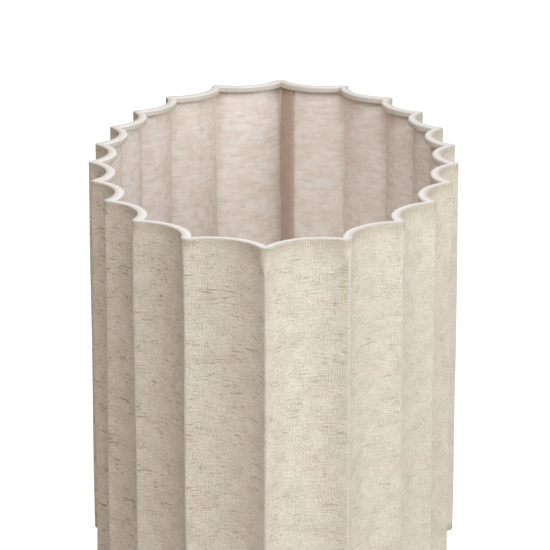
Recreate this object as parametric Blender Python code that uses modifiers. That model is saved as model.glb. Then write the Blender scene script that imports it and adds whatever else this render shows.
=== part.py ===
"""Fluted oval lamp shade: a linen cover folded over two fluted rim bars, a
translucent liner, and a bottom fitter ring on four arms with a lift-out reducer.

Metres, +Z up. The origin is under the middle of the shade, level with its bottom
rim. The oval's long axis runs along Y and its short axis along X.
"""

import math

import bmesh
import bpy
from mathutils import Vector

# --- Driving dimensions -------------------------------------------------------

HALF_WIDTH = 0.073        # short half axis of the oval that the arris tips touch
HALF_LENGTH = 0.150       # long half axis of that oval
HEIGHT = 0.152            # rim to rim
FLUTES = 22               # hollow flutes round the oval, an arris between each pair
FLUTE_DEPTH = 0.100       # how far a flute dips below its tip centres, in chords
ARRIS_RADIUS = 0.0030     # rounding of each arris, measured on the cover's outside

CLEARANCE = 0.0003        # gap left between pieces that touch
LINEN = 0.0004            # cloth thickness
LINER = 0.0004            # stiffener thickness
BAR_WIDTH = 0.0022        # flat rim bars, across the wall
BAR_HEIGHT = 0.0014
HEM_CORNER = 0.0003       # chamfer where the cloth folds over a bar
SEAM_LAP = 0.010          # overlap where the sleeve is closed

FITTER_HEIGHT = 0.018     # underside of the fitter ring's inner land
FITTER_HOLE = 0.0205      # radius of the hole for a wide lamp holder
FITTER_LAND = 0.0250      # outer radius of the flat land round that hole
FITTER_RADIUS = 0.0290    # outer radius of the raised flange
FITTER_STEP = 0.0032      # rise from the land to the flange
FITTER_SHEET = 0.0010     # sheet metal thickness
ARM_RADIUS = 0.0012       # the four fitter arms
ARM_BEND = 0.006          # radius of the bend down to the bottom bar
ARM_FOOT = 0.0008         # height of an arm's lower end

REDUCER_HOLE = 0.0145     # radius of the hole for a narrow lamp holder
REDUCER_FLANGE = 0.0245   # radius of the flange that rests on the fitter's land
REDUCER_WALL = 0.0016     # plastic thickness
REDUCER_DROP = 0.0038     # how far the reducer's cup hangs below its flange

# --- Detail of the faceted solids -----------------------------------------------

FLUTE_STEPS = 5           # straight runs in each flute's arc
TIP_STEPS = 2             # straight runs round each arris
TURN_STEPS = 32           # faces round a turned piece
SHARPEST_TIP = 0.0003     # least arris radius on the layers furthest in

# --- Layers, as depths in from the cover's outer face -----------------------------

BAR_DEPTH = LINEN + CLEARANCE
RIM_WIDTH = 2 * BAR_DEPTH + BAR_WIDTH              # hem and bar together
RIM_HEIGHT = 2 * BAR_DEPTH + BAR_HEIGHT
TUCK_END = RIM_WIDTH / 2                           # the cloth's edge, under the bar
LINER_DEPTH = LINEN + CLEARANCE
LAP_DEPTH = LINER_DEPTH + LINER + CLEARANCE
ARM_DEPTH = BAR_DEPTH + BAR_WIDTH + CLEARANCE + ARM_RADIUS
LINER_MARGIN = BAR_DEPTH + BAR_HEIGHT + CLEARANCE  # rim to the liner's edge
LAP_MARGIN = RIM_HEIGHT + CLEARANCE                # rim to the lap's ends

SHADE_COLLECTION = "fluted_lamp_shade"
CUTTER_COLLECTION = "cutters"


# --- Plan of the flutes -------------------------------------------------------------

def ellipse_point(angle):
    """Point of the tips' oval; angle 0 is its front end, growing anticlockwise."""
    return Vector((HALF_WIDTH * math.sin(angle), -HALF_LENGTH * math.cos(angle)))


def evenly_spaced_angles(count, samples=7200):
    """Angles that part the tips' oval into stretches of equal length."""
    angles = [2 * math.pi * i / samples for i in range(samples + 1)]
    reached = [0.0]
    for low, high in zip(angles, angles[1:]):
        step = (ellipse_point(high) - ellipse_point(low)).length
        reached.append(reached[-1] + step)
    found = []
    sample = 0
    for index in range(count):
        target = reached[-1] * index / count
        while reached[sample] < target - 1e-12:
            sample += 1
        found.append(angles[sample])
    return found


def inward_normal(angle):
    """Unit normal of the oval at an angle, pointing into the shade."""
    normal = Vector((-HALF_LENGTH * math.sin(angle), HALF_WIDTH * math.cos(angle)))
    return normal.normalized()


def tip_centres():
    """Centres of the arris roundings, one per arris."""
    angles = evenly_spaced_angles(FLUTES)
    return [ellipse_point(a) + ARRIS_RADIUS * inward_normal(a) for a in angles]


def flute_circles():
    """Centre and radius of each flute's circle, between one arris and the next.

    Each circle lies outside the shade and touches the roundings of both arrises.
    """
    centres = tip_centres()
    circles = []
    for index, start in enumerate(centres):
        end = centres[(index + 1) % FLUTES]
        chord = end - start
        depth = FLUTE_DEPTH * chord.length
        half = chord.length / 2
        radius = (half ** 2 / (ARRIS_RADIUS + depth) - ARRIS_RADIUS + depth) / 2
        outward = Vector((chord.y, -chord.x)).normalized()
        circles.append(((start + end) / 2 + outward * (radius - depth), radius))
    return circles


CIRCLES = flute_circles()


def arris_centre(index, depth, tip_radius):
    """Centre of a rounding that touches both flutes beside an arris.

    depth is the layer's distance in from the cover's outer face.
    """
    centre_a, radius_a = CIRCLES[index - 1]
    centre_b, radius_b = CIRCLES[index % FLUTES]
    reach_a = radius_a + depth + tip_radius
    reach_b = radius_b + depth + tip_radius
    between = centre_b - centre_a
    gap = between.length
    along = (gap ** 2 + reach_a ** 2 - reach_b ** 2) / (2 * gap)
    aside = math.sqrt(reach_a ** 2 - along ** 2)
    unit = between / gap
    inward = Vector((-unit.y, unit.x))
    return centre_a + unit * along + inward * aside


def tip_radius_at(depth):
    return max(ARRIS_RADIUS - depth, SHARPEST_TIP)


def arc(centre, radius, start, end, steps):
    """Points of the shorter arc between the directions of two points, both included."""
    first = math.atan2(start.y - centre.y, start.x - centre.x)
    last = math.atan2(end.y - centre.y, end.x - centre.x)
    turn = (last - first + math.pi) % (2 * math.pi) - math.pi
    angles = [first + turn * i / steps for i in range(steps + 1)]
    return [centre + radius * Vector((math.cos(a), math.sin(a))) for a in angles]


def flute_arc(index, depth, steps=FLUTE_STEPS):
    """Arc of one flute on a layer, from its first arris to the next."""
    centre, radius = CIRCLES[index]
    tip = tip_radius_at(depth)
    start = arris_centre(index, depth, tip)
    end = arris_centre((index + 1) % FLUTES, depth, tip)
    return arc(centre, radius + depth, start, end, steps)


def outline(depth):
    """The whole fluted plan of a layer, anticlockwise from the front arris."""
    tip = tip_radius_at(depth)
    arcs = [flute_arc(index, depth) for index in range(FLUTES)]
    points = []
    for index, flute in enumerate(arcs):
        centre = arris_centre(index, depth, tip)
        points += arc(centre, tip, arcs[index - 1][-1], flute[0], TIP_STEPS)[:-1]
        points += flute[:-1]
    return points


# --- Blender helpers --------------------------------------------------------------

def clear_scene():
    for old in list(bpy.data.objects):
        bpy.data.objects.remove(old, do_unlink=True)


def make_collection(name):
    collection = bpy.data.collections.new(name)
    bpy.context.scene.collection.children.link(collection)
    return collection


def make_material(name, colour, roughness, metallic=0.0):
    material = bpy.data.materials.new(name)
    material.use_nodes = True
    shader = material.node_tree.nodes["Principled BSDF"]
    shader.inputs["Base Color"].default_value = (*colour, 1.0)
    shader.inputs["Roughness"].default_value = roughness
    shader.inputs["Metallic"].default_value = metallic
    material.diffuse_color = (*colour, 1.0)
    return material


def add_mesh_object(name, mesh, collection, material=None):
    piece = bpy.data.objects.new(name, mesh)
    collection.objects.link(piece)
    if material:
        mesh.materials.append(material)
    return piece


def loft(name, rings, close_plan, collection, material):
    """Skin a loop of rings, each a list of 3-D points with the same count.

    The last ring joins the first, so the rings are the corners of a closed
    section. close_plan also joins each ring's ends; otherwise the ends get caps.
    """
    shape = bmesh.new()
    rows = [[shape.verts.new(point) for point in ring] for ring in rings]
    count = len(rows[0])
    for row_index, row in enumerate(rows):
        below = rows[row_index - 1]
        for i in range(count if close_plan else count - 1):
            j = (i + 1) % count
            shape.faces.new((below[i], below[j], row[j], row[i]))
    if not close_plan:
        shape.faces.new([row[0] for row in rows])
        shape.faces.new([row[-1] for row in reversed(rows)])
    bmesh.ops.recalc_face_normals(shape, faces=shape.faces)
    mesh = bpy.data.meshes.new(name)
    shape.to_mesh(mesh)
    shape.free()
    return add_mesh_object(name, mesh, collection, material)


def fluted_sweep(name, section, collection, material):
    """Carry a section round the whole plan. Its corners are (depth in, height)."""
    rings = [[(*point, height) for point in outline(depth)] for depth, height in section]
    return loft(name, rings, True, collection, material)


def turned(name, profile, collection, material):
    """Turn a closed (radius, height) profile about the Z axis."""
    mesh = bpy.data.meshes.new(name)
    points = [(radius, 0, height) for radius, height in profile]
    edges = [(i, (i + 1) % len(points)) for i in range(len(points))]
    mesh.from_pydata(points, edges, [])
    piece = add_mesh_object(name, mesh, collection, material)
    screw = piece.modifiers.new("turn", "SCREW")
    screw.axis = "Z"
    screw.steps = TURN_STEPS
    screw.render_steps = TURN_STEPS
    screw.use_merge_vertices = True
    screw.merge_threshold = 0.00001
    return piece


def bent_wire(name, points, radius, collection, material):
    """A round wire with filled ends along a list of points."""
    curve = bpy.data.curves.new(name, "CURVE")
    curve.dimensions = "3D"
    curve.bevel_depth = radius
    curve.bevel_resolution = 2
    curve.use_fill_caps = True
    spline = curve.splines.new("POLY")
    spline.points.add(len(points) - 1)
    for control, point in zip(spline.points, points):
        control.co = (*point, 1.0)
    wire = bpy.data.objects.new(name, curve)
    curve.materials.append(material)
    collection.objects.link(wire)
    return wire


# --- Pieces ---------------------------------------------------------------------

def hem_section():
    """Corners of a hem: over the bar, down inside it and tucked under it.

    Each is (depth in, distance from the rim); they run from the wall's outer
    face to the cut edge and back along the cloth's other side.
    """
    far = RIM_WIDTH - LINEN
    outside = [
        (0.0, HEM_CORNER),
        (HEM_CORNER, 0.0),
        (RIM_WIDTH - HEM_CORNER, 0.0),
        (RIM_WIDTH, HEM_CORNER),
        (RIM_WIDTH, RIM_HEIGHT - HEM_CORNER),
        (RIM_WIDTH - HEM_CORNER, RIM_HEIGHT),
        (TUCK_END, RIM_HEIGHT),
    ]
    inside = [(TUCK_END, RIM_HEIGHT - LINEN), (far, RIM_HEIGHT - LINEN), (far, LINEN), (LINEN, LINEN)]
    return outside + inside


def make_linen_cover(collection, material):
    """One cloth sleeve whose two edges fold over the rim bars."""
    top = [(depth, HEIGHT - down) for depth, down in hem_section()]
    bottom = hem_section()[::-1]
    return fluted_sweep("linen_cover", top + bottom, collection, material)


def make_liner(collection, material):
    """Stiff translucent sleeve inside the linen, between the two bars."""
    near, far = LINER_DEPTH, LINER_DEPTH + LINER
    low, high = LINER_MARGIN, HEIGHT - LINER_MARGIN
    section = [(near, high), (far, high), (far, low), (near, low)]
    return fluted_sweep("shade_liner", section, collection, material)


def make_seam_lap(collection, material):
    """End of the panel that laps inside the liner, beside the back arris."""
    flute = FLUTES // 2 - 1
    near, far = LAP_DEPTH, LAP_DEPTH + LINER
    low, high = LAP_MARGIN, HEIGHT - LAP_MARGIN
    steps = 3
    rings = []
    for depth, height in [(near, high), (far, high), (far, low), (near, low)]:
        whole = flute_arc(flute, depth)
        centre, radius = CIRCLES[flute]
        length = radius * abs((whole[-1] - centre).angle(whole[0] - centre))
        share = SEAM_LAP / length
        fine = flute_arc(flute, depth, steps=round(steps / share))
        rings.append([(*point, height) for point in fine[-steps - 1:]])
    return loft("seam_lap", rings, False, collection, material)


def make_rim_bar(name, low, collection, material):
    """Flat bar bent to the flutes, inside the hem at one rim."""
    near, far = BAR_DEPTH, BAR_DEPTH + BAR_WIDTH
    high = low + BAR_HEIGHT
    section = [(near, high), (far, high), (far, low), (near, low)]
    return fluted_sweep(name, section, collection, material)


def make_fitter_ring(collection, material):
    """Pressed ring: a flat land round the hole and a raised flange for the arms."""
    low = FITTER_HEIGHT
    high = low + FITTER_STEP
    rise = FITTER_LAND + FITTER_SHEET
    profile = [
        (FITTER_HOLE, low + FITTER_SHEET),
        (FITTER_LAND, low + FITTER_SHEET),
        (FITTER_LAND, high + FITTER_SHEET),
        (FITTER_RADIUS, high + FITTER_SHEET),
        (FITTER_RADIUS, high),
        (rise, high),
        (rise, low),
        (FITTER_HOLE, low),
    ]
    return turned("fitter_ring", profile, collection, material)


def make_reducer(collection, material):
    """Plastic cup ring that narrows the fitter's hole; it lifts straight out."""
    seat = FITTER_HEIGHT + FITTER_SHEET + CLEARANCE
    top = seat + REDUCER_WALL
    floor = seat - REDUCER_DROP
    outer = FITTER_HOLE - CLEARANCE
    inner = outer - REDUCER_WALL
    profile = [
        (inner, top),
        (REDUCER_FLANGE, top),
        (REDUCER_FLANGE, seat),
        (outer, seat),
        (outer, floor),
        (REDUCER_HOLE, floor),
        (REDUCER_HOLE, floor + REDUCER_WALL),
        (inner, floor + REDUCER_WALL),
    ]
    return turned("reducer_ring", profile, collection, material)


def arm_feet():
    """Where each arm stands beside the bottom bar, as plan points by name."""
    quarter = FLUTES // 4
    middle = FLUTE_STEPS * 2
    return {
        "front": arris_centre(0, ARM_DEPTH, 0.0),
        "right": flute_arc(quarter, ARM_DEPTH, steps=middle)[FLUTE_STEPS],
        "back": arris_centre(FLUTES // 2, ARM_DEPTH, 0.0),
        "left": flute_arc(FLUTES - 1 - quarter, ARM_DEPTH, steps=middle)[FLUTE_STEPS],
    }


def make_arm(side, foot, collection, material):
    """Straight out under the fitter's flange, then down to the bottom bar."""
    level = FITTER_HEIGHT + FITTER_STEP - CLEARANCE - ARM_RADIUS
    start = FITTER_LAND + FITTER_SHEET + CLEARANCE
    outward = foot.normalized()
    reach = foot.length
    run = [(start, level)]
    steps = 5
    for i in range(steps + 1):
        angle = math.pi / 2 * i / steps
        away = reach - ARM_BEND * (1 - math.sin(angle))
        run.append((away, level - ARM_BEND * (1 - math.cos(angle))))
    run.append((reach, ARM_FOOT))
    points = [(*(outward * away), height) for away, height in run]
    return bent_wire(f"fitter_arm_{side}", points, ARM_RADIUS, collection, material)


def cut_arm_slits(cover, feet, collection):
    """Slit the bottom hem where each arm passes through it to the bar."""
    slit_radius = ARM_RADIUS + 0.001
    slit_height = 2 * RIM_HEIGHT
    for side, foot in feet.items():
        bpy.ops.mesh.primitive_cylinder_add(
            vertices=16,
            radius=slit_radius,
            depth=2 * slit_height,
            location=(*foot, slit_height / 2),
        )
        cutter = bpy.context.object
        cutter.name = f"arm_slit_{side}"
        for home in list(cutter.users_collection):
            home.objects.unlink(cutter)
        collection.objects.link(cutter)
        cutter.hide_render = True
        cutter.display_type = "WIRE"
        cut = cover.modifiers.new(f"slit_{side}", "BOOLEAN")
        cut.operation = "DIFFERENCE"
        cut.solver = "EXACT"
        cut.object = cutter


def build():
    clear_scene()
    parts = make_collection(SHADE_COLLECTION)
    cutters = make_collection(CUTTER_COLLECTION)
    linen = make_material("linen", (0.69, 0.62, 0.52), 0.95)
    liner = make_material("liner_sheet", (0.84, 0.79, 0.72), 0.55)
    steel = make_material("white_coated_steel", (0.86, 0.85, 0.82), 0.4, 0.1)
    plastic = make_material("white_plastic", (0.88, 0.87, 0.84), 0.45)

    cover = make_linen_cover(parts, linen)
    make_liner(parts, liner)
    make_seam_lap(parts, liner)
    make_rim_bar("top_rim_bar", HEIGHT - BAR_DEPTH - BAR_HEIGHT, parts, steel)
    make_rim_bar("bottom_rim_bar", BAR_DEPTH, parts, steel)
    make_fitter_ring(parts, steel)
    make_reducer(parts, plastic)
    feet = arm_feet()
    for side, foot in feet.items():
        make_arm(side, foot, parts, steel)
    cut_arm_slits(cover, feet, cutters)


build()
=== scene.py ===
"""Looks of the fluted oval lamp shade: linen folded over two fluted bars, a stiff
liner with its seam lap, and the fitter ring, arms and lift-out reducer inside.

Metres, +Z up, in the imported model's frame. Plan depths count inwards from the
cover's outer face, and a height is a Z coordinate.
"""

import math
from functools import lru_cache

import bpy
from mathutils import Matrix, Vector


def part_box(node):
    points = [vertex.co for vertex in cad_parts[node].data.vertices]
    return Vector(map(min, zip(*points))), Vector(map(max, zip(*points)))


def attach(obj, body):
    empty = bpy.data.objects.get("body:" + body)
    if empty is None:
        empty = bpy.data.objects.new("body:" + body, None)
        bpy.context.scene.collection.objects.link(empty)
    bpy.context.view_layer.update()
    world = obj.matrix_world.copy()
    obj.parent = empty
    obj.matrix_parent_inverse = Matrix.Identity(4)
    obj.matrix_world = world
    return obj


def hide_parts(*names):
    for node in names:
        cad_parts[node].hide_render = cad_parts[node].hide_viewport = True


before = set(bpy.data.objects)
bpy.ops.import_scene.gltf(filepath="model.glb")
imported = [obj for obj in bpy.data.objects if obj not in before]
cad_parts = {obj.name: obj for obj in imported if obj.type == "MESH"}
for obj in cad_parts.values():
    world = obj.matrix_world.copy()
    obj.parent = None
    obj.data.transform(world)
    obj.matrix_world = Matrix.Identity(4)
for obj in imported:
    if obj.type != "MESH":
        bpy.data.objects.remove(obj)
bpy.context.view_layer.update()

# --- Sizes ---------------------------------------------------------------------

_, COVER_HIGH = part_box("linen_cover")
HEIGHT = COVER_HIGH.z
HALF_LENGTH = COVER_HIGH.y
HALF_WIDTH = 0.073        # the arris tips' oval has no tip on its widest line
FLUTES = 22
FLUTE_DEPTH = 0.100       # how far a flute dips below its tip centres, in chords
RIM_ARRIS = 0.0030        # rounding of an arris where the cloth turns over a bar
BODY_ARRIS = 0.0008       # rounding of the crease between the bars
SHARPEST_TIP = 0.0003     # least rounding of a layer inside a crease
ARRIS_EASE = 0.007        # height over which one rounding turns into the other

CLEARANCE = 0.0003        # gap between neighbouring pieces
LINEN = 0.0004
LINER = 0.0004
BAR_WIDTH = 0.0022
BAR_HEIGHT = 0.0014
BAR_DEPTH = LINEN + CLEARANCE
RIM_WIDTH = 2 * BAR_DEPTH + BAR_WIDTH
RIM_HEIGHT = 2 * BAR_DEPTH + BAR_HEIGHT
RIM_OUTER_CORNER = 0.00035        # rounding of the fold at the cloth's outer face
RIM_INNER_CORNER = 0.00075        # and of its two folds on the inside
LEAST_CORNER = 0.00008    # rounding left on the other side of the cloth at a fold
TUCK_END = RIM_WIDTH / 2  # the cut edge lies under the bar's middle
LINER_DEPTH = LINEN + CLEARANCE
LAP_GAP = 0.00006         # pressed close, so no gap shows
LAP_DEPTH = LINER_DEPTH + LINER + LAP_GAP
LAP_WIDTH = 0.010
LINER_MARGIN = BAR_DEPTH + BAR_HEIGHT + CLEARANCE    # the liner stops short of the bars
LAP_MARGIN = RIM_HEIGHT + CLEARANCE                  # and the lap short of the hems
NOTCH_DEPTH = 0.0019      # where the cloth stops at a notch for a fitter arm
NOTCH_HALF_WIDTH = 0.0030
NOTCH_EASE = 0.0022

RING_LOW, RING_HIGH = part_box("fitter_ring")
REDUCER_LOW, REDUCER_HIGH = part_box("reducer_ring")
RING_SHEET = 0.0010
RING_HOLE = 0.0205        # radius for a wide lamp holder
RING_LAND = 0.0250        # radius of the flat land round the hole
ARM_RADIUS = 0.0012
ARM_BEND = 0.006
ARM_DEPTH = BAR_DEPTH + BAR_WIDTH + CLEARANCE + ARM_RADIUS
ARM_SIDES = 16
WELD_REACH = 0.0030       # how far a weld's bead runs out along an arm
RING_SWELL = 0.0007       # extra radius of an arm at the ring's weld
FOOT_SWELL = 0.00035      # and at the bar's
REDUCER_WALL = 0.0016
REDUCER_HOLE = 0.0145     # radius for a narrow lamp holder
GROOVE_SHIFT = 0.0008     # finger groove, outwards from the middle of the flange
GROOVE_DEPTH = 0.0004
GROOVE_TOP = 0.0009       # half its width at the flange's face
GROOVE_FLOOR = 0.0005     # and at its floor

FLUTE_COLUMNS = 18        # mesh columns across a flute
TIP_COLUMNS = 6           # and round an arris
BODY_ROWS = 56
LAP_COLUMNS = 8
CORNER_STEPS = 4
HEM_RUN_STEPS = 4         # mesh rows along a straight run of the folded edge
BACK_ARRIS = FLUTES // 2  # the panel's two ends meet here


# --- Plan of the flutes ----------------------------------------------------------

def eased(share):
    """Share from 0 to 1 with a gentle start and end, held at both."""
    held = min(max(share, 0.0), 1.0)
    return held * held * (3 - 2 * held)


def oval_point(angle):
    """Point of the tips' oval; angle 0 is its front end, growing anticlockwise."""
    return Vector((HALF_WIDTH * math.sin(angle), -HALF_LENGTH * math.cos(angle)))


def evenly_spaced_angles(count, samples=7200):
    """Angles that part the tips' oval into stretches of equal length."""
    angles = [2 * math.pi * i / samples for i in range(samples + 1)]
    reached = [0.0]
    for low, high in zip(angles, angles[1:]):
        reached.append(reached[-1] + (oval_point(high) - oval_point(low)).length)
    found = []
    sample = 0
    allowance = 1e-12    # for rounding
    for index in range(count):
        while reached[sample] < reached[-1] * index / count - allowance:
            sample += 1
        found.append(angles[sample])
    return found


TIP_ANGLES = evenly_spaced_angles(FLUTES)


def tip_centres(arris):
    """Centres of the arris roundings, which all touch the tips' oval."""
    centres = []
    for angle in TIP_ANGLES:
        inward = Vector((-HALF_LENGTH * math.sin(angle), HALF_WIDTH * math.cos(angle)))
        centres.append(oval_point(angle) + arris * inward.normalized())
    return centres


@lru_cache(maxsize=None)
def flute_circles(arris):
    """Centre and radius of each flute's circle for one rounding of the arrises.

    A circle lies outside the shade and touches the roundings on both sides, and
    a flute is as deep in its middle whatever the rounding.
    """
    centres = tip_centres(arris)
    rim_centres = tip_centres(RIM_ARRIS)
    circles = []
    for index, start in enumerate(centres):
        after = (index + 1) % FLUTES
        end = centres[after]
        # dip counts from the line over both tips, depth from the line of their centres
        dip = RIM_ARRIS + FLUTE_DEPTH * (rim_centres[after] - rim_centres[index]).length
        depth = dip - arris
        half = (end - start).length / 2
        radius = (half ** 2 / dip - arris + depth) / 2
        outward = Vector((end.y - start.y, start.x - end.x)).normalized()
        circles.append(((start + end) / 2 + outward * (radius - depth), radius))
    return circles


@lru_cache(maxsize=None)
def arris_centre(index, inset, arris):
    """Centre of the rounding that touches both flutes beside an arris.

    inset is how far that centre lies from the two flutes' outer faces, and
    arris the rounding on the cover's outer face at that height.
    """
    circles = flute_circles(arris)
    centre_a, radius_a = circles[(index - 1) % FLUTES]
    centre_b, radius_b = circles[index % FLUTES]
    reach_a = radius_a + inset
    reach_b = radius_b + inset
    between = centre_b - centre_a
    gap = between.length
    along = (gap ** 2 + reach_a ** 2 - reach_b ** 2) / (2 * gap)
    aside = math.sqrt(reach_a ** 2 - along ** 2)
    unit = between / gap
    return centre_a + unit * along + Vector((-unit.y, unit.x)) * aside


def heading(start, end):
    """Angle of the line from one point to another."""
    return math.atan2(end.y - start.y, end.x - start.x)


def turn_between(first, last):
    """Shorter signed turn from one heading to another."""
    return (last - first + math.pi) % (2 * math.pi) - math.pi


def all_columns():
    """The plan's mesh columns, as (is an arris, its index, share of the arc).

    They start at the back arris, where the panel's two ends meet.
    """
    columns = []
    for step in range(FLUTES):
        index = (BACK_ARRIS + step) % FLUTES
        columns += [(True, index, i / TIP_COLUMNS) for i in range(TIP_COLUMNS)]
        columns += [(False, index, i / FLUTE_COLUMNS) for i in range(FLUTE_COLUMNS)]
    return columns


def plan_point(column, depth, arris):
    """Point of a layer on a column, and the direction from there into the shade.

    arris is the rounding on the cover's outer face; layers inside are sharper.
    """
    is_arris, index, share = column
    circles = flute_circles(arris)
    tip = max(arris - depth, SHARPEST_TIP)
    if is_arris:
        centre = arris_centre(index, depth + tip, arris)
        first = heading(centre, circles[(index - 1) % FLUTES][0])
        last = heading(centre, circles[index][0])
        radius, inward = tip, -1
    else:
        centre, outer_radius = circles[index]
        first = heading(centre, arris_centre(index, depth + tip, arris))
        last = heading(centre, arris_centre((index + 1) % FLUTES, depth + tip, arris))
        radius, inward = outer_radius + depth, 1
    angle = first + share * turn_between(first, last)
    away = Vector((math.cos(angle), math.sin(angle)))
    return centre + radius * away, inward * away


def running_lengths(points):
    """Distance along a closed line of points, from its first round to itself."""
    lengths = [0.0]
    for start, end in zip(points, points[1:] + points[:1]):
        lengths.append(lengths[-1] + (end - start).length)
    return lengths


COLUMNS = all_columns()
OUTER_PLAN = [plan_point(column, 0.0, RIM_ARRIS)[0] for column in COLUMNS]
CLOTH_AROUND = running_lengths(OUTER_PLAN)
GIRTH = CLOTH_AROUND[-1]


def arris_at(height):
    """Rounding of the creases at a height: sharp between the bars, soft at them."""
    from_rim = min(height, HEIGHT - height) - RIM_HEIGHT
    return RIM_ARRIS + (BODY_ARRIS - RIM_ARRIS) * eased(from_rim / ARRIS_EASE)


# Slack in the cloth between the bars: waves round the shade, half waves up it,
# where in its wave each one starts, and how deep it goes.
SLACK_WAVES = [
    (5, 1, 0.6, 0.00013),
    (9, 2, 2.1, 0.00009),
    (14, 3, 4.0, 0.00007),
    (31, 2, 1.3, 0.00006),
    (57, 5, 5.2, 0.00004),
]


def slack(around, height):
    """How far the cloth gives way inwards at a place; nothing at the bars."""
    rise = (height - RIM_HEIGHT) / (HEIGHT - 2 * RIM_HEIGHT)
    if not 0 < rise < 1:
        return 0.0
    turn = 2 * math.pi * around / GIRTH
    total = 0.0
    for waves, halves, start, depth in SLACK_WAVES:
        along = math.sin(waves * turn + start + halves * rise)
        total += depth * along * math.sin(halves * math.pi * rise)
    return total


# --- Meshes ----------------------------------------------------------------------

def shade_smooth(mesh, sharp_above=50):
    mesh.polygons.foreach_set("use_smooth", [True] * len(mesh.polygons))
    mesh.set_sharp_from_angle(angle=math.radians(sharp_above))


def add_piece(name, mesh, material, body, node):
    """Put a mesh in the scene as a piece that rides on a body and stands for a node."""
    piece = bpy.data.objects.new(name, mesh)
    bpy.context.scene.collection.objects.link(piece)
    mesh.materials.append(material)
    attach(piece, body)
    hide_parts(node)
    return piece


def quad(count, row, above, i, j):
    """Corners of the face between two rings of points and two of their columns."""
    return (row * count + i, row * count + j, above * count + j, above * count + i)


def loft(name, rings, across, along, closed=True):
    """Skin a closed section's rings of points, with the cloth's own measure as UVs.

    across has a value for each column, and one more for the column that closes
    the plan; along has a value for each ring. Where the plan isn't closed, the
    rings run up one face and down the other, and caps join those faces.
    """
    count = len(rings[0])
    points = [point for ring in rings for point in ring]
    faces = []
    places = []
    for row in range(len(rings)):
        above = (row + 1) % len(rings)
        for i in range(count if closed else count - 1):
            j = (i + 1) % count
            faces.append(quad(count, row, above, i, j))
            left, right = across[i], across[i + 1]
            low, high = along[row], along[above]
            places += [(left, low), (right, low), (right, high), (left, high)]
    if not closed:
        half = len(rings) // 2
        for i in (0, count - 1):
            for row in range(half - 1):
                back = len(rings) - 1 - row
                cap = [row, row + 1, back - 1, back]
                faces.append([k * count + i for k in cap])
                places += [(across[i], along[k]) for k in cap]
    mesh = bpy.data.meshes.new(name)
    mesh.from_pydata(points, [], faces)
    layer = mesh.uv_layers.new(name="cloth")
    layer.data.foreach_set("uv", [value for place in places for value in place])
    mesh.validate()
    face_outwards(mesh)
    shade_smooth(mesh)
    return mesh


def face_outwards(mesh):
    """Turn a closed mesh's faces so that its volume is positive."""
    volume = 0.0
    mesh.calc_loop_triangles()
    for triangle in mesh.loop_triangles:
        a, b, c = (mesh.vertices[i].co for i in triangle.vertices)
        volume += a.dot(b.cross(c))
    if volume < 0:
        mesh.flip_normals()


def layer_ring(depth, height, arris, columns=COLUMNS, around=CLOTH_AROUND):
    """Points of one layer at one height, with the cloth's slack."""
    ring = []
    for column, place in zip(columns, around):
        point, inward = plan_point(column, depth, arris)
        point = point + inward * slack(place, height)
        ring.append((point.x, point.y, height))
    return ring


def heights_between(low, high, rows):
    return [low + (high - low) * i / rows for i in range(rows + 1)]


# --- Cloth cover ------------------------------------------------------------------

# Columns where the fitter arms meet the bottom bar: in two arrises and two flutes.
QUARTER = FLUTES // 4
ARM_COLUMNS = {
    "front": (True, 0, 0.5),
    "right": (False, QUARTER, 0.5),
    "back": (True, BACK_ARRIS, 0.5),
    "left": (False, FLUTES - 1 - QUARTER, 0.5),
}
ARM_PLACES = [CLOTH_AROUND[COLUMNS.index(column)] for column in ARM_COLUMNS.values()]


def corner_arc(before, here, after, radius):
    """Points that round a corner of a line, from its arriving to its leaving side.

    The rounding takes less than half of the shorter side, so that two fit on it.
    """
    arrive = (before - here).normalized()
    leave = (after - here).normalized()
    shortest = min((before - here).length, (after - here).length)
    cut = min(radius / math.tan(arrive.angle(leave) / 2), 0.49 * shortest)
    start, end = here + arrive * cut, here + leave * cut
    shares = [i / CORNER_STEPS for i in range(CORNER_STEPS + 1)]
    return [(1 - t) ** 2 * start + 2 * t * (1 - t) * here + t ** 2 * end for t in shares]


def hem_path(inset):
    """Line of the folded edge, as (depth in, distance from the rim).

    It runs up the wall, over the bar, down inside it and under it to the cut
    edge. inset is 0 for the cloth's outer side and its thickness for the other.
    """
    far, low = RIM_WIDTH - inset, RIM_HEIGHT - inset
    corners = [
        (Vector((inset, RIM_HEIGHT)), 0.0),
        (Vector((inset, inset)), RIM_OUTER_CORNER),
        (Vector((far, inset)), RIM_INNER_CORNER),
        (Vector((far, low)), RIM_INNER_CORNER),
        (Vector((TUCK_END, low)), 0.0),
    ]
    path = [corners[0][0]]
    for index in range(1, len(corners)):
        here, radius = corners[index]
        rounded_corner = [here]
        if radius:
            before, after = corners[index - 1][0], corners[index + 1][0]
            rounded_corner = corner_arc(before, here, after, max(radius - inset, LEAST_CORNER))
        last, arrival = path[-1], rounded_corner[0]
        path += [last.lerp(arrival, i / HEM_RUN_STEPS) for i in range(1, HEM_RUN_STEPS)]
        path += rounded_corner
    return path


HEM_OUTSIDE = hem_path(0.0)
HEM_INSIDE = hem_path(LINEN)
HEM_LENGTHS = running_lengths(HEM_OUTSIDE)[:-1]


def step_at_depth(depth):
    """Place along the hem, in its points, where the rim's face is that deep."""
    for step, (here, after) in enumerate(zip(HEM_OUTSIDE, HEM_OUTSIDE[1:])):
        if here.x <= depth < after.x:
            return step + (depth - here.x) / (after.x - here.x)


HEM_STEPS = len(HEM_OUTSIDE) - 1
NOTCH_STEPS = step_at_depth(NOTCH_DEPTH)


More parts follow.
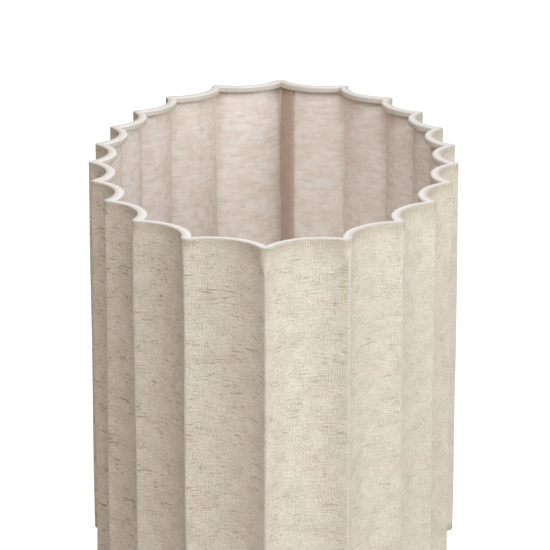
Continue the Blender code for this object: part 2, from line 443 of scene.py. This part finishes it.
def bottom_steps(around):
    """How far along its path the bottom hem runs: less in a notch at each arm."""
    steps = HEM_STEPS
    for place in ARM_PLACES:
        gap = abs(turn_between(2 * math.pi * place / GIRTH, 2 * math.pi * around / GIRTH))
        beside = gap * GIRTH / (2 * math.pi) - NOTCH_HALF_WIDTH
        steps = min(steps, NOTCH_STEPS + (HEM_STEPS - NOTCH_STEPS) * eased(beside / NOTCH_EASE))
    return steps


def hem_ring(share, path, at_top):
    """Ring of the folded edge, a share of the way from the wall to the cut edge."""
    ring = []
    for column, around in zip(COLUMNS, CLOTH_AROUND):
        place = share * (HEM_STEPS if at_top else bottom_steps(around))
        step = min(int(place), HEM_STEPS - 1)
        depth, down = path[step].lerp(path[step + 1], place - step)
        point, _ = plan_point(column, depth, RIM_ARRIS)
        ring.append((point.x, point.y, HEIGHT - down if at_top else down))
    return ring


def make_cover(material):
    """One closed sleeve of cloth whose two edges fold over the rim bars.

    Its rings run up the outer face, over the top hem, down the hidden face, with
    every other row, and round the bottom hem.
    """
    rings = []
    along = []
    wall = heights_between(RIM_HEIGHT, HEIGHT - RIM_HEIGHT, BODY_ROWS)
    shares = [i / HEM_STEPS for i in range(1, HEM_STEPS + 1)]

    def add_wall(heights, depth):
        for height in heights:
            rings.append(layer_ring(depth, height, arris_at(height)))
            along.append(height)

    def add_hem(shares, path, at_top):
        for share in shares:
            rings.append(hem_ring(share, path, at_top))
            folded = HEM_LENGTHS[round(share * HEM_STEPS)] - RIM_HEIGHT
            along.append(HEIGHT + folded if at_top else -folded)

    add_wall(wall, 0.0)
    add_hem(shares, HEM_OUTSIDE, True)
    add_hem(shares[::-1], HEM_INSIDE, True)
    add_wall(wall[::-2], LINEN)
    add_hem(shares, HEM_INSIDE, False)
    add_hem(shares[::-1], HEM_OUTSIDE, False)
    mesh = loft("cloth_cover", rings, CLOTH_AROUND, along)
    cover = add_piece("cloth_cover", mesh, material, "shade", "linen_cover")
    mark_creases(mesh, len(rings))
    return cover


def mark_creases(mesh, rings):
    """Store how near each point is to an arris's edge: 1 on it, 0 off the rounding."""
    marks = []
    for is_arris, _, share in COLUMNS:
        marks.append(1 - abs(2 * share - 1) if is_arris else 0.0)
    attribute = mesh.attributes.new("crease", "FLOAT", "POINT")
    attribute.data.foreach_set("value", marks * rings)


# --- Liner and seam ------------------------------------------------------------------

def make_liner(material):
    """Stiff sleeve inside the cloth, between the two bars, with fewer rows out of sight."""
    heights = heights_between(LINER_MARGIN, HEIGHT - LINER_MARGIN, BODY_ROWS)
    hidden = heights[::-4]
    rings = [layer_ring(LINER_DEPTH + LINER, h, arris_at(h)) for h in heights]
    rings += [layer_ring(LINER_DEPTH, h, arris_at(h)) for h in hidden]
    mesh = loft("liner", rings, CLOTH_AROUND, heights + hidden)
    return add_piece("liner", mesh, material, "shade", "shade_liner")


def make_lap(material):
    """End of the panel that laps over the inside, beside the back arris."""
    flute = BACK_ARRIS - 1
    arc = GIRTH / FLUTES
    shares = [1 - LAP_WIDTH / arc * (1 - i / LAP_COLUMNS) for i in range(LAP_COLUMNS + 1)]
    columns = [(False, flute, share) for share in shares]
    start = CLOTH_AROUND[COLUMNS.index((False, flute, 0.0))]
    flute_length = GIRTH - start
    around = [start + flute_length * share for share in shares]
    heights = heights_between(LAP_MARGIN, HEIGHT - LAP_MARGIN, BODY_ROWS)
    rings = [layer_ring(LAP_DEPTH + LINER, h, arris_at(h), columns, around) for h in heights]
    rings += [layer_ring(LAP_DEPTH, h, arris_at(h), columns, around) for h in heights[::-1]]
    mesh = loft("panel_lap", rings, around, heights + heights[::-1], closed=False)
    return add_piece("panel_lap", mesh, material, "shade", "seam_lap")


# --- Metal and plastic ---------------------------------------------------------------

def rounded(corners):
    """Round the corners of a closed outline; each corner is (x, y, radius)."""
    points = []
    for index, (x, y, radius) in enumerate(corners):
        before = Vector(corners[index - 1][:2])
        after = Vector(corners[(index + 1) % len(corners)][:2])
        points += corner_arc(before, Vector((x, y)), after, radius)
    return points


def make_rim_bar(name, low, node, material):
    """Flat bar bent to the flutes, inside the folded edge."""
    near, far = BAR_DEPTH, BAR_DEPTH + BAR_WIDTH
    high = low + BAR_HEIGHT
    edge = 0.0002
    corners = [(near, high, edge), (far, high, edge), (far, low, edge), (near, low, edge)]
    rings = []
    outline = rounded(corners)
    for depth, level in outline:
        plan = [plan_point(column, depth, RIM_ARRIS)[0] for column in COLUMNS]
        rings.append([(point.x, point.y, level) for point in plan])
    mesh = loft(name, rings, CLOTH_AROUND, running_lengths(outline)[:-1])
    return add_piece(name, mesh, material, "shade", node)


def turned(name, corners, turns=128):
    """Turn a closed outline of (radius, height, rounding) about the Z axis."""
    profile = rounded(corners)
    angles = [2 * math.pi * i / turns for i in range(turns)]
    rings = []
    for radius, height in profile:
        rings.append([(radius * math.cos(a), radius * math.sin(a), height) for a in angles])
    across = [RING_LAND * 2 * math.pi * i / turns for i in range(turns + 1)]
    along = running_lengths(profile)[:-1]
    mesh = loft(name, rings, across, along)
    shade_smooth(mesh, sharp_above=60)
    return mesh


def make_fitter_ring(material):
    """Pressed ring: a land round the hole, a drawn step and a raised outer flange."""
    low, high = RING_LOW.z, RING_HIGH.z
    outer = RING_HIGH.x
    step = RING_LAND + RING_SHEET
    corners = [
        (RING_HOLE, low + RING_SHEET, 0.0003),
        (RING_LAND, low + RING_SHEET, 0.0005),
        (RING_LAND, high, 0.0010),
        (outer, high, 0.0004),
        (outer, high - RING_SHEET, 0.0003),
        (step, high - RING_SHEET, 0.0004),
        (step, low, 0.0010),
        (RING_HOLE, low, 0.0003),
    ]
    mesh = turned("fitter", corners)
    return add_piece("fitter", mesh, material, "shade", "fitter_ring")


def make_reducer(material):
    """Moulded cup ring: flange with a finger groove, cup wall and inner seat."""
    top, floor = REDUCER_HIGH.z, REDUCER_LOW.z
    outer = REDUCER_HIGH.x
    seat = top - REDUCER_WALL
    cup = RING_HOLE - CLEARANCE
    bore = cup - REDUCER_WALL
    groove = (bore + outer) / 2 + GROOVE_SHIFT
    corners = [
        (bore, top, 0.0005),
        (groove - GROOVE_TOP, top, 0.0002),
        (groove - GROOVE_FLOOR, top - GROOVE_DEPTH, 0.0002),
        (groove + GROOVE_FLOOR, top - GROOVE_DEPTH, 0.0002),
        (groove + GROOVE_TOP, top, 0.0002),
        (outer, top, 0.0005),
        (outer, seat, 0.0003),
        (cup, seat, 0.0003),
        (cup, floor, 0.0005),
        (REDUCER_HOLE, floor, 0.0003),
        (REDUCER_HOLE, floor + REDUCER_WALL, 0.0004),
        (bore, floor + REDUCER_WALL, 0.0006),
    ]
    mesh = turned("reducer", corners)
    return add_piece("reducer", mesh, material, "reducer", "reducer_ring")


def weld_swell(distance, swell):
    """Extra radius of an arm near a welded end, as the bead runs out along it."""
    return swell * (1 - eased(distance / WELD_REACH))


def arm_path(reach, foot, run_rows=24, bend_rows=12, drop_rows=8):
    """Points of an arm's axis, as (distance from the shade's middle, height)."""
    level = RING_HIGH.z - RING_SHEET - CLEARANCE - ARM_RADIUS
    start = RING_LAND + RING_SHEET + CLEARANCE
    run = reach - ARM_BEND - start
    path = [(start + run * i / run_rows, level) for i in range(run_rows)]
    for i in range(bend_rows + 1):
        angle = math.pi / 2 * i / bend_rows
        away = reach - ARM_BEND * (1 - math.sin(angle))
        path.append((away, level - ARM_BEND * (1 - math.cos(angle))))
    bend_end = path[-1][1]
    drop = foot - bend_end
    path += [(reach, bend_end + drop * i / drop_rows) for i in range(1, drop_rows + 1)]
    return [Vector(point) for point in path]


def make_arm(side, column, material):
    """Bent wire arm from under the fitter's flange down to the bottom bar."""
    end, _ = plan_point(column, ARM_DEPTH, RIM_ARRIS)
    is_arris, index, _ = column
    if is_arris:
        end = arris_centre(index, ARM_DEPTH, RIM_ARRIS)
    low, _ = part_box(f"fitter_arm_{side}")
    outward = end.normalized()
    sideways = Vector((-outward.y, outward.x, 0))
    path = arm_path(end.length, low.z)
    distances = running_lengths(path)[:-1]
    angles = [2 * math.pi * i / ARM_SIDES for i in range(ARM_SIDES)]
    rings = []
    for k, point in enumerate(path):
        tangent = (path[min(k + 1, len(path) - 1)] - path[max(k - 1, 0)]).normalized()
        centre = Vector((*(outward * point.x), point.y))
        upward = Vector((*(outward * -tangent.y), tangent.x))
        from_end = min(distances[k], distances[-1] - distances[k])
        swell = FOOT_SWELL if k > len(path) / 2 else RING_SWELL
        radius = ARM_RADIUS + weld_swell(from_end, swell)
        round_axis = [math.cos(a) * upward + math.sin(a) * sideways for a in angles]
        rings.append([centre + radius * away for away in round_axis])
    name = f"arm_{side}"
    mesh = tube(name, rings)
    return add_piece(name, mesh, material, "shade", f"fitter_arm_{side}")


def tube(name, rings):
    """Skin a tube's rings and close its two ends with flat caps."""
    sides = len(rings[0])
    points = [point for ring in rings for point in ring]
    faces = []
    for row in range(len(rings) - 1):
        for i in range(sides):
            faces.append(quad(sides, row, row + 1, i, (i + 1) % sides))
    faces.append(list(range(sides))[::-1])
    last = (len(rings) - 1) * sides
    faces.append([last + i for i in range(sides)])
    mesh = bpy.data.meshes.new(name)
    mesh.from_pydata(points, [], faces)
    face_outwards(mesh)
    shade_smooth(mesh)
    return mesh


# --- Materials -------------------------------------------------------------------------

class Graph:
    """A material's nodes. Most calls add nodes and return the socket they end in."""

    def __init__(self, name, colour, roughness):
        self.material = bpy.data.materials.new(name)
        self.material.use_nodes = True
        self.material.diffuse_color = colour
        self.tree = self.material.node_tree
        self.shader = self.tree.nodes["Principled BSDF"]
        self.shader.inputs["Roughness"].default_value = roughness

    def node(self, kind, inputs, **settings):
        node = self.tree.nodes.new(kind)
        for name, value in settings.items():
            setattr(node, name, value)
        for name, source in inputs.items():
            self.plug(node.inputs[name], source)
        return node

    def plug(self, socket, source):
        if isinstance(source, bpy.types.NodeSocket):
            self.tree.links.new(source, socket)
        else:
            socket.default_value = source

    def maths(self, operation, *sources):
        node = self.node("ShaderNodeMath", dict(enumerate(sources)), operation=operation)
        return node.outputs[0]

    def scaled(self, value, factor):
        return self.maths("MULTIPLY", value, factor)

    def fade(self, value, start, end):
        """0 where the value is at start, 1 where it is at end, eased between."""
        inputs = {"Value": value, "From Min": start, "From Max": end}
        node = self.node("ShaderNodeMapRange", inputs, interpolation_type="SMOOTHSTEP")
        return node.outputs[0]

    def mix(self, share, first, second):
        """Blend of two colours, whose sockets come after the node's number sockets."""
        node = self.node("ShaderNodeMix", {0: share}, data_type="RGBA")
        self.plug(node.inputs[6], first)
        self.plug(node.inputs[7], second)
        return node.outputs[2]

    def tinted(self, colour, tone, value, share):
        """Colour moved towards a tone by a share, where the value is 1."""
        return self.mix(self.scaled(value, share), colour, tone)

    def cloth_place(self):
        """Metres round and up the cloth, from the piece's own UV map."""
        place = self.node("ShaderNodeUVMap", {}, uv_map="cloth").outputs[0]
        parts = self.node("ShaderNodeSeparateXYZ", {0: place})
        return parts.outputs[0], parts.outputs[1]

    def streaks(self, place, width, height, detail=2.0, shift=0.0):
        """Noise whose grains are width across and height up the cloth, in metres.

        shift moves it, so that two noises don't share their pattern.
        """
        across = self.maths("MULTIPLY_ADD", place[0], 1 / width, shift)
        up = self.maths("MULTIPLY_ADD", place[1], 1 / height, shift)
        vector = self.node("ShaderNodeCombineXYZ", {0: across, 1: up}).outputs[0]
        inputs = {"Vector": vector, "Scale": 1.0, "Detail": detail}
        return self.node("ShaderNodeTexNoise", inputs, noise_dimensions="2D").outputs[0]

    def threads(self, distance, wander, spacing):
        """Wave across threads that are spacing apart and wander by a noise's value."""
        place = self.maths("MULTIPLY_ADD", wander, 1.6 * spacing, distance)
        turns = self.maths("MULTIPLY", place, 2 * math.pi / spacing)
        return self.maths("MULTIPLY_ADD", self.maths("SINE", turns), 0.5, 0.5)

    def painted_shade_swing(self, around, middle, swing):
        """Value that swings once round the shade for painted shade: most on its shaded left, least
        on its lit right.
        """
        turns = self.scaled(around, 2 * math.pi / GIRTH)
        return self.maths("MULTIPLY_ADD", self.maths("SINE", turns), swing, middle)

    def grain(self, size, detail=2.0):
        """Noise through the piece's own space, with grains of a size in metres."""
        place = self.node("ShaderNodeTexCoord", {}).outputs["Object"]
        inputs = {"Vector": place, "Scale": 1 / size, "Detail": detail}
        return self.node("ShaderNodeTexNoise", inputs).outputs[0]

    def bump(self, height, depth, strength=1.0):
        """Surface direction for a relief that is depth metres high where height is 1."""
        inputs = {"Height": height, "Distance": depth, "Strength": strength}
        return self.node("ShaderNodeBump", inputs).outputs[0]


THREAD = 0.00082          # spacing of the cloth's warp threads
WEFT_THREAD = THREAD * 0.93
CLOTH_COLOUR = (0.722, 0.686, 0.594, 1)
CLOTH_PALE = (0.818, 0.792, 0.722, 1)
CLOTH_TAN = (0.528, 0.458, 0.365, 1)
CLOTH_PINK = (0.748, 0.678, 0.607, 1)
CLOTH_OLIVE = (0.700, 0.686, 0.572, 1)
# pale of the painted highlight along the arrises
CREASE_HIGHLIGHT = (0.845, 0.827, 0.792, 1)
SLUB_BROWN = (0.317, 0.202, 0.128, 1)
# darker weave stripes in the painted shade beside the bars
STRIPE_SHADE_BROWN = (0.378, 0.317, 0.238, 1)
# painted highlight on the hem's flat top; HEM_SHADED is painted shade at its outer edge
HEM_TOP_HIGHLIGHT = (0.860, 0.840, 0.815, 1)
HEM_SHADED = (0.686, 0.656, 0.607, 1)
# painted shade of the band beside the bars, where the bar stops light through the cloth
BAR_BAND_SHADE = (0.528, 0.480, 0.396, 1)
# painted shade on the fold's inner side
HEM_INSIDE_SHADE = (0.640, 0.590, 0.520, 1)
LINER_COLOUR = (0.920, 0.865, 0.815, 1)
LINER_TAN = (0.780, 0.645, 0.555, 1)
LINER_GREY = (0.905, 0.880, 0.840, 1)
# the lap's painted shade, where its double layer stops light through the wall; the first colour
# also browns the liner's slubs
LAP_SHADE_AND_SLUB_COLOUR = (0.540, 0.415, 0.345, 1)
LAP_SHADE_BROWN = (0.450, 0.335, 0.275, 1)
STEEL_COLOUR = (0.800, 0.790, 0.760, 1)
STEEL_DUSTY = (0.66, 0.63, 0.58, 1)
PLASTIC_COLOUR = (0.830, 0.815, 0.775, 1)
PLASTIC_DULL = (0.74, 0.71, 0.65, 1)


def past_rim(graph, up):
    """Metres along the cloth past the rim's level: less than 0 on the outer wall."""
    middle = HEIGHT / 2
    from_middle = graph.maths("ABSOLUTE", graph.maths("SUBTRACT", up, middle))
    return graph.maths("SUBTRACT", from_middle, middle)


def mottled_linen(graph, place):
    """Base colour of the linen, in soft patches of pink, olive and tan."""
    hue = graph.streaks(place, 0.0060, 0.0045, 2.0, 23.0)
    cloud = graph.streaks(place, 0.009, 0.007, 3.0, 7.0)
    colour = graph.tinted(CLOTH_COLOUR, CLOTH_PINK, graph.fade(hue, 0.50, 0.68), 0.6)
    colour = graph.tinted(colour, CLOTH_OLIVE, graph.fade(hue, 0.50, 0.32), 0.6)
    return graph.tinted(colour, CLOTH_TAN, graph.fade(cloud, 0.54, 0.30), 0.22)


def thread_gaps(graph, place, beside_bar):
    """The warp's wave, and the gaps between warp and between weft threads.

    The gaps show in patches, and between warp threads all along the bars, where they darken as part
    of the painted shade there.
    """
    around, up = place
    warp = graph.threads(around, graph.streaks(place, 0.004, 0.020, shift=3.0), THREAD)
    weft = graph.threads(up, graph.streaks(place, 0.020, 0.004, shift=5.0), WEFT_THREAD)
    warp_patch = graph.fade(graph.streaks(place, 0.0060, 0.0075, shift=11.0), 0.38, 0.64)
    weft_patch = graph.fade(graph.streaks(place, 0.0075, 0.0050, shift=17.0), 0.44, 0.68)
    warp_patch = graph.maths("MAXIMUM", warp_patch, graph.scaled(beside_bar, 1.6))
    warp_gap = graph.maths("MULTIPLY", warp, warp_patch)
    weft_gap = graph.maths("MULTIPLY", weft, weft_patch)
    return warp, warp_gap, weft_gap


def slubs_and_flecks(graph, place):
    """Shares of brown in thick places of the weft and in fine flecks.

    Slubs come in patches; both are strongest on the shaded left side and faintest on the lit right,
    as painted shade.
    """
    around, _ = place
    short_slub = graph.fade(graph.streaks(place, 0.0028, 0.00070, 1.0, 53.0), 0.60, 0.76)
    long_slub = graph.fade(graph.streaks(place, 0.0080, 0.00080, 1.0, 83.0), 0.64, 0.76)
    slub = graph.maths("MAXIMUM", short_slub, long_slub)
    patch = graph.fade(graph.streaks(place, 0.009, 0.005, shift=61.0), 0.42, 0.64)
    # painted shade: more slubs and flecks on the shaded left side, fewer on the lit right
    patch = graph.maths("MULTIPLY", patch, graph.painted_shade_swing(around, 0.60, 0.40))
    fleck = graph.fade(graph.streaks(place, 0.0012, 0.0008, 1.0, 91.0), 0.66, 0.80)
    flecks = graph.maths("MULTIPLY", fleck, graph.painted_shade_swing(around, 0.24, 0.14))
    return graph.maths("MULTIPLY", slub, patch), flecks


def hem_tones(graph, colour, folded, beside_bar, crest, warp):
    """Olive painted shade and darker stripes beside the bar, a painted highlight on the flat top,
    and painted shade on the inner side.
    """
    # painted shade: an olive band and darker stripes where the bar stops light through the cloth
    colour = graph.tinted(colour, BAR_BAND_SHADE, beside_bar, 0.34)
    colour = graph.tinted(colour, STRIPE_SHADE_BROWN, graph.maths("MULTIPLY", beside_bar, warp), 0.34)
    # painted highlight over the flat top, with painted shade along its outer edge
    towards_inside = graph.fade(folded, 0.0005, 0.0019)
    colour = graph.tinted(colour, graph.mix(towards_inside, HEM_SHADED, HEM_TOP_HIGHLIGHT), crest, 0.96)
    # painted shade on the fold's inner side, darker than the linen, where the bar stops light
    # through the cloth
    inner_side = graph.fade(folded, RIM_WIDTH - 0.0003, RIM_WIDTH + 0.0005)
    return graph.tinted(colour, HEM_INSIDE_SHADE, inner_side, 0.80)


def crease_tones(graph, colour, folded, around):
    """Painted highlight along the arrises between the bars, and the brown line of the cloth's seam.
    """
    crease = graph.node("ShaderNodeAttribute", {}, attribute_name="crease").outputs["Fac"]
    off_rim = graph.fade(folded, -0.0035, -0.0095)
    # painted highlight along the arrises, kept off the rims
    crease_highlight = graph.maths("MULTIPLY", graph.fade(crease, 0.0, 0.6), off_rim)
    colour = graph.tinted(colour, CREASE_HIGHLIGHT, crease_highlight, 0.28)
    return graph.tinted(colour, SLUB_BROWN, graph.fade(around, 0.0009, 0.0002), 0.5)


def linen_material():
    """Natural flecked linen, smoother where it folds over the bars, with a painted highlight on the
    fold's top and painted shade beside it.
    """
    graph = Graph("natural_linen", CLOTH_COLOUR, 0.92)
    place = graph.cloth_place()
    around, up = place
    folded = past_rim(graph, up)
    # band beside the bar that takes painted shade
    beside_bar = graph.fade(folded, -RIM_HEIGHT - 0.0022, -0.0004)
    crest = graph.fade(folded, -0.0001, 0.0003)
    warp, warp_gap, weft_gap = thread_gaps(graph, place, beside_bar)
    speck = graph.streaks(place, 0.00062, 0.00070, 1.0, 43.0)
    warp_run = graph.streaks(place, 0.00060, 0.0030, 1.0)
    weft_run = graph.streaks(place, 0.0034, 0.00070, 1.0, 31.0)
    brown, flecks = slubs_and_flecks(graph, place)

    colour = mottled_linen(graph, place)
    colour = graph.tinted(colour, CLOTH_TAN, warp_gap, 0.44)
    colour = graph.tinted(colour, CLOTH_TAN, weft_gap, 0.24)
    for yarn, share in ((speck, 0.32), (warp_run, 0.18), (weft_run, 0.22)):
        colour = graph.tinted(colour, CLOTH_PALE, graph.fade(yarn, 0.50, 0.76), share)
        colour = graph.tinted(colour, CLOTH_TAN, graph.fade(yarn, 0.50, 0.24), share)
    colour = graph.tinted(colour, SLUB_BROWN, brown, 0.85)
    colour = graph.mix(flecks, colour, SLUB_BROWN)
    colour = hem_tones(graph, colour, folded, beside_bar, crest, warp)
    colour = crease_tones(graph, colour, folded, around)
    graph.plug(graph.shader.inputs["Base Color"], colour)

    relief = speck
    heights = ((warp_run, 0.6), (weft_run, 0.8), (warp_gap, -0.25), (weft_gap, -0.20), (brown, 0.5))
    for height, share in heights:
        relief = graph.maths("MULTIPLY_ADD", height, share, relief)
    relief = graph.maths("MULTIPLY", relief, graph.maths("MULTIPLY_ADD", crest, -0.7, 1.0))
    graph.plug(graph.shader.inputs["Normal"], graph.bump(relief, 0.00016))
    graph.shader.inputs["Specular IOR Level"].default_value = 0.15
    graph.shader.inputs["Sheen Weight"].default_value = 0.10
    graph.shader.inputs["Sheen Roughness"].default_value = 0.6
    return graph.material


def liner_material(name, base, dark, grey, edge_share=0.0):
    """Stiff sheet with the linen's weave showing softly through it.

    edge_share is how much paler the sheet is at the lap's cut edge, where the lap's painted shade
    fades out.
    """
    graph = Graph(name, base, 0.60)
    place = graph.cloth_place()
    warp = graph.streaks(place, 0.0022, 0.008)
    weft = graph.streaks(place, 0.0062, 0.0024, 1.0, 31.0)
    blot = graph.streaks(place, 0.0040, 0.0022, 1.0, 71.0)
    cloud = graph.streaks(place, 0.014, 0.010, 2.0, 7.0)
    slub = graph.streaks(place, 0.0060, 0.0013, 1.0, 53.0)
    hue = graph.streaks(place, 0.0080, 0.0050, 2.0, 23.0)
    colour = graph.tinted(base, grey, graph.fade(hue, 0.45, 0.70), 0.6)
    for noise, share in ((warp, 0.18), (weft, 0.42), (blot, 0.32), (cloud, 0.36)):
        colour = graph.tinted(colour, dark, graph.fade(noise, 0.56, 0.28), share)
    colour = graph.tinted(colour, LAP_SHADE_AND_SLUB_COLOUR, graph.fade(slub, 0.60, 0.84), 0.30)
    at_edge = graph.fade(place[0], GIRTH - 0.5 * LAP_WIDTH, GIRTH - LAP_WIDTH)
    colour = graph.tinted(colour, LINER_TAN, at_edge, edge_share)
    graph.plug(graph.shader.inputs["Base Color"], colour)
    relief = graph.maths("ADD", warp, weft)
    graph.plug(graph.shader.inputs["Normal"], graph.bump(relief, 0.0001, 0.5))
    graph.shader.inputs["Specular IOR Level"].default_value = 0.25
    return graph.material


def coated_steel_material():
    """White powder coat with its fine orange peel."""
    graph = Graph("powder_coated_steel", STEEL_COLOUR, 0.42)
    peel = graph.grain(0.0006)
    dust = graph.fade(graph.grain(0.006, 4.0), 0.45, 0.75)
    colour = graph.tinted(STEEL_COLOUR, STEEL_DUSTY, dust, 0.25)
    graph.plug(graph.shader.inputs["Base Color"], colour)
    graph.plug(graph.shader.inputs["Roughness"], graph.maths("MULTIPLY_ADD", peel, 0.12, 0.36))
    graph.plug(graph.shader.inputs["Normal"], graph.bump(peel, 0.00006))
    return graph.material


def plastic_material():
    """White moulded plastic, faintly mottled."""
    graph = Graph("moulded_plastic", PLASTIC_COLOUR, 0.38)
    mottle = graph.fade(graph.grain(0.004, 3.0), 0.4, 0.7)
    colour = graph.tinted(PLASTIC_COLOUR, PLASTIC_DULL, mottle, 0.15)
    graph.plug(graph.shader.inputs["Base Color"], colour)
    graph.plug(graph.shader.inputs["Normal"], graph.bump(graph.grain(0.0003), 0.00003))
    return graph.material


# --- Studio ---------------------------------------------------------------------------

CAMERA_RISE = math.radians(15.155)
CAMERA_SWING = math.radians(1.10)     # how far the camera stands round to the right
CAMERA_DISTANCE = 1.1448
CAMERA_LENS = 186.2
CAMERA_AIM = Vector((0.0003, 0.0, HEIGHT - 0.0502))


def make_camera():
    data = bpy.data.cameras.new("camera")
    data.lens = CAMERA_LENS
    data.sensor_width = 36.0
    camera = bpy.data.objects.new("camera", data)
    bpy.context.scene.collection.objects.link(camera)
    flat = math.cos(CAMERA_RISE)
    look = Vector((
        -math.sin(CAMERA_SWING) * flat,
        math.cos(CAMERA_SWING) * flat,
        -math.sin(CAMERA_RISE),
    ))
    camera.location = CAMERA_AIM - look * CAMERA_DISTANCE
    camera.rotation_mode = "QUATERNION"
    camera.rotation_quaternion = look.to_track_quat("-Z", "Y")
    bpy.context.scene.camera = camera


STAGE_HALF_SIZE = 3.0
FLOOR_COLOUR = (0.30, 0.30, 0.30, 1)
FLOOR_GLOW = 0.90         # lifts the floor to the white of the backdrop
BOUNCE_COLOUR = (0.48, 0.40, 0.35, 1)
BOUNCE_DROP = 0.001       # how far the bounce card lies below the floor


def make_plane(name, height, colour):
    """Level plane in one matt colour, and its shader."""
    graph = Graph(name, colour, 0.9)
    graph.shader.inputs["Base Color"].default_value = colour
    graph.shader.inputs["Specular IOR Level"].default_value = 0.0
    half = STAGE_HALF_SIZE
    corners = [(x * half, y * half, height) for x, y in ((-1, -1), (1, -1), (1, 1), (-1, 1))]
    mesh = bpy.data.meshes.new(name)
    mesh.from_pydata(corners, [], [(0, 1, 2, 3)])
    mesh.materials.append(graph.material)
    plane = bpy.data.objects.new(name, mesh)
    bpy.context.scene.collection.objects.link(plane)
    return plane, graph.shader


def make_floor():
    """Plain pale floor that runs into the backdrop, and the card that bounces its light."""
    floor, shader = make_plane("floor", 0.0, FLOOR_COLOUR)
    shader.inputs["Emission Color"].default_value = (1, 1, 1, 1)
    shader.inputs["Emission Strength"].default_value = FLOOR_GLOW
    floor.visible_diffuse = False
    floor.visible_shadow = False
    card, _ = make_plane("bounce_card", -BOUNCE_DROP, BOUNCE_COLOUR)
    card.visible_camera = False


LAMP_DISTANCE = 1.3
LAMP_SIZE = 0.9
LAMP_COLOUR = (0.93, 1.00, 1.03)

# Each lamp's direction from the middle of the shade, and its power in watts.
LAMPS = {
    "key": (Vector((0.50, -0.66, 0.58)), 3.5),
    "right": (Vector((0.90, -0.35, 0.25)), 7.1),
    "front": (Vector((-0.10, -0.62, 0.80)), 10.0),
    "low_front": (Vector((0.05, -0.95, 0.30)), 2.3),
    "back": (Vector((0.10, 0.95, 0.12)), 15.0),
    "top": (Vector((0.10, 0.10, 1.00)), 1.2),
}
SURROUND = (0.195, 0.112, 0.073, 1)


def add_lamp(name, direction, power):
    """Square area light that faces the middle of the shade."""
    data = bpy.data.lights.new(name, "AREA")
    data.shape = "SQUARE"
    data.size = LAMP_SIZE
    data.energy = power
    data.color = LAMP_COLOUR
    light = bpy.data.objects.new(name, data)
    bpy.context.scene.collection.objects.link(light)
    middle = Vector((0, 0, HEIGHT / 2))
    light.location = middle + direction.normalized() * LAMP_DISTANCE
    light.rotation_mode = "QUATERNION"
    light.rotation_quaternion = (-direction).to_track_quat("-Z", "Y")


def make_world():
    """Backdrop that is white to the eye, over a dim warm surround."""
    world = bpy.data.worlds.new("studio")
    world.use_nodes = True
    tree = world.node_tree
    surround = tree.nodes["Background"]
    surround.inputs[0].default_value = SURROUND
    backdrop = tree.nodes.new("ShaderNodeBackground")
    backdrop.inputs[0].default_value = (1, 1, 1, 1)
    eye = tree.nodes.new("ShaderNodeLightPath")
    choose = tree.nodes.new("ShaderNodeMixShader")
    tree.links.new(eye.outputs["Is Camera Ray"], choose.inputs[0])
    tree.links.new(surround.outputs[0], choose.inputs[1])
    tree.links.new(backdrop.outputs[0], choose.inputs[2])
    tree.links.new(choose.outputs[0], tree.nodes["World Output"].inputs[0])
    bpy.context.scene.world = world


def make_studio():
    make_world()
    make_floor()
    for name, (direction, power) in LAMPS.items():
        add_lamp(name, direction, power)
    bpy.context.scene.view_settings.view_transform = "Standard"


# --- Assembly ---------------------------------------------------------------------------

def make_shade():
    steel = coated_steel_material()
    make_rim_bar("top_bar", HEIGHT - BAR_DEPTH - BAR_HEIGHT, "top_rim_bar", steel)
    make_rim_bar("bottom_bar", BAR_DEPTH, "bottom_rim_bar", steel)
    make_cover(linen_material())
    make_liner(liner_material("liner_sheet", LINER_COLOUR, LINER_TAN, LINER_GREY))
    # the lap's colours are painted shade, paler towards its cut edge
    make_lap(liner_material("panel_lap", LAP_SHADE_AND_SLUB_COLOUR, LAP_SHADE_BROWN, LAP_SHADE_AND_SLUB_COLOUR, 0.8))
    make_fitter_ring(steel)
    for side, column in ARM_COLUMNS.items():
        make_arm(side, column, steel)
    make_reducer(plastic_material())


make_camera()
make_studio()
make_shade()
